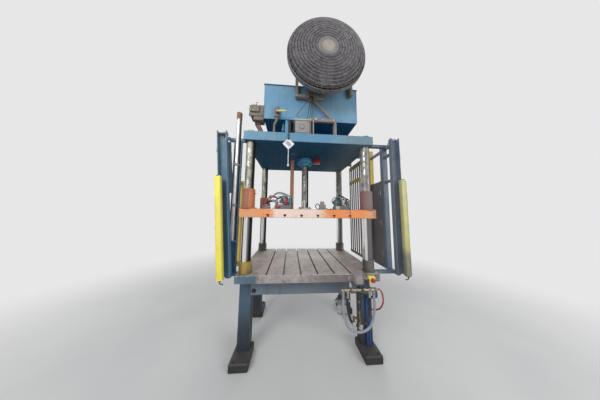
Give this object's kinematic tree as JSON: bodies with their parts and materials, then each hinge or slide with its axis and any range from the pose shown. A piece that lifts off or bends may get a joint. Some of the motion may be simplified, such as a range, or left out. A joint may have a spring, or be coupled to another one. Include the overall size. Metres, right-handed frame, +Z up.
{
  "type": "hydraulic press",
  "caption": "Four-column hydraulic press with tee-slotted bolster and moving platen, top cylinder, oil tank, side guards with light curtains, front controls and a caged fan.",
  "frame": {"origin": "centre of the bolster plate's top face, midway between the four columns", "axes": "+Z up along the columns, -Y towards the operator at the front, +X to the operator's right"},
  "size_m": [2.1976, 1.349, 3.688],
  "materials": {
    "foot_grey": "worn dark grey paint",
    "bed_blue": "dusty satin blue paint",
    "bolster_steel": "machined plate, worn and oily",
    "column_chrome": "hard chrome, ground",
    "collar_ochre": "worn ochre paint with brown stains",
    "press_blue": "satin blue paint",
    "curtain_yellow": "bright yellow powder coat",
    "platen_orange": "satin orange paint",
    "polished_tube": "polished tube",
    "bare_steel": "bare machined steel",
    "brown_steel": "orange-brown paint and rust",
    "guard_grey": "dark grey paint",
    "fan_steel": "dusty grey paint",
    "fan_aluminium": "dusty cast and sheet aluminium",
    "sign_white": "blank white sign",
    "button_red": "red moulded plastic",
    "lever_yellow": "worn pale yellow coat",
    "hose_grey": "grey hose cover",
    "hose_black": "black rubber",
    "fitting_grey": "grey cast and drawn metal",
    "machine_grey": "grey machine paint over cast iron",
    "box_plastic": "grey enclosures"
  },
  "bodies": {
    "frame": {"foot_front_left": "foot_grey", "foot_front_right": "foot_grey", "foot_rear_left": "foot_grey", "foot_rear_right": "foot_grey", "bed_end_left": "bed_blue", "bed_end_right": "bed_blue", "bed_rail_front": "bed_blue", "bed_rail_rear": "bed_blue", "bolster_plate": "bolster_steel", "column_front_left": "column_chrome", "column_front_right": "column_chrome", "column_rear_left": "column_chrome", "column_rear_right": "column_chrome", "collar_front_left": "collar_ochre", "collar_front_right": "collar_ochre", "collar_rear_left": "collar_ochre", "collar_rear_right": "collar_ochre", "crown": "press_blue", "cylinder_barrel": "press_blue", "cylinder_gland": "press_blue", "tank_body": "press_blue", "tank_cover": "press_blue", "valve_block": "fitting_grey", "ball_valve": "brown_steel", "pump_motor": "machine_grey", "hydraulic_pump": "machine_grey", "pressure_pipe": "bare_steel", "guard_frame_left": "press_blue", "guard_frame_right": "press_blue", "light_curtain_left": "curtain_yellow", "light_curtain_right": "curtain_yellow", "side_curtain_left": "curtain_yellow", "side_curtain_right": "curtain_yellow", "guard_panel": "guard_grey", "guard_tube": "polished_tube", "slat_guard": "guard_grey", "fan_bracket": "fan_steel", "sign_plate": "sign_white", "junction_box": "box_plastic", "control_station": "box_plastic", "air_pipe": "fitting_grey", "air_unit": "fitting_grey", "hose_grey": "hose_grey", "hose_black": "hose_black"},
    "ram": {"platen": "platen_orange", "bushing_front_left": "platen_orange", "bushing_front_right": "platen_orange", "bushing_rear_left": "platen_orange", "bushing_rear_right": "platen_orange", "piston_rod": "column_chrome", "piston": "bare_steel", "rod_flange": "platen_orange", "stop_rod": "brown_steel", "manifold_left": "fitting_grey", "manifold_right": "fitting_grey"},
    "fan_head": {"fan_motor": "fan_aluminium", "fan_guard": "fan_steel"},
    "fan_rotor": {"fan_blades": "fan_aluminium"},
    "stop_button": {"stop_button": "button_red"},
    "valve_lever": {"valve_lever": "lever_yellow"}
  },
  "joints": [
    {"name": "ram_slide", "type": "slide", "parent": "frame", "child": "ram", "axis": [0, 0, 1], "range_m": [-0.36, 0.25]},
    {"name": "fan_tilt", "type": "hinge", "parent": "frame", "child": "fan_head", "pos_m": [0.15, -0.545, 2.335], "axis": [1, 0, 0], "range_deg": [-10, 10]},
    {"name": "fan_spin", "type": "hinge", "parent": "fan_head", "child": "fan_rotor", "pos_m": [0.15, -0.702, 2.335], "axis": [0, 1, 0], "continuous": true},
    {"name": "stop_press", "type": "slide", "parent": "frame", "child": "stop_button", "axis": [0, 1, 0], "range_m": [0, 0.005], "stiffness_N_per_m": 600, "springref_m": -0.002},
    {"name": "valve_turn", "type": "hinge", "parent": "frame", "child": "valve_lever", "pos_m": [-0.385, -0.5, 1.774], "axis": [0, 1, 0], "range_deg": [0, 90]}
  ]
}
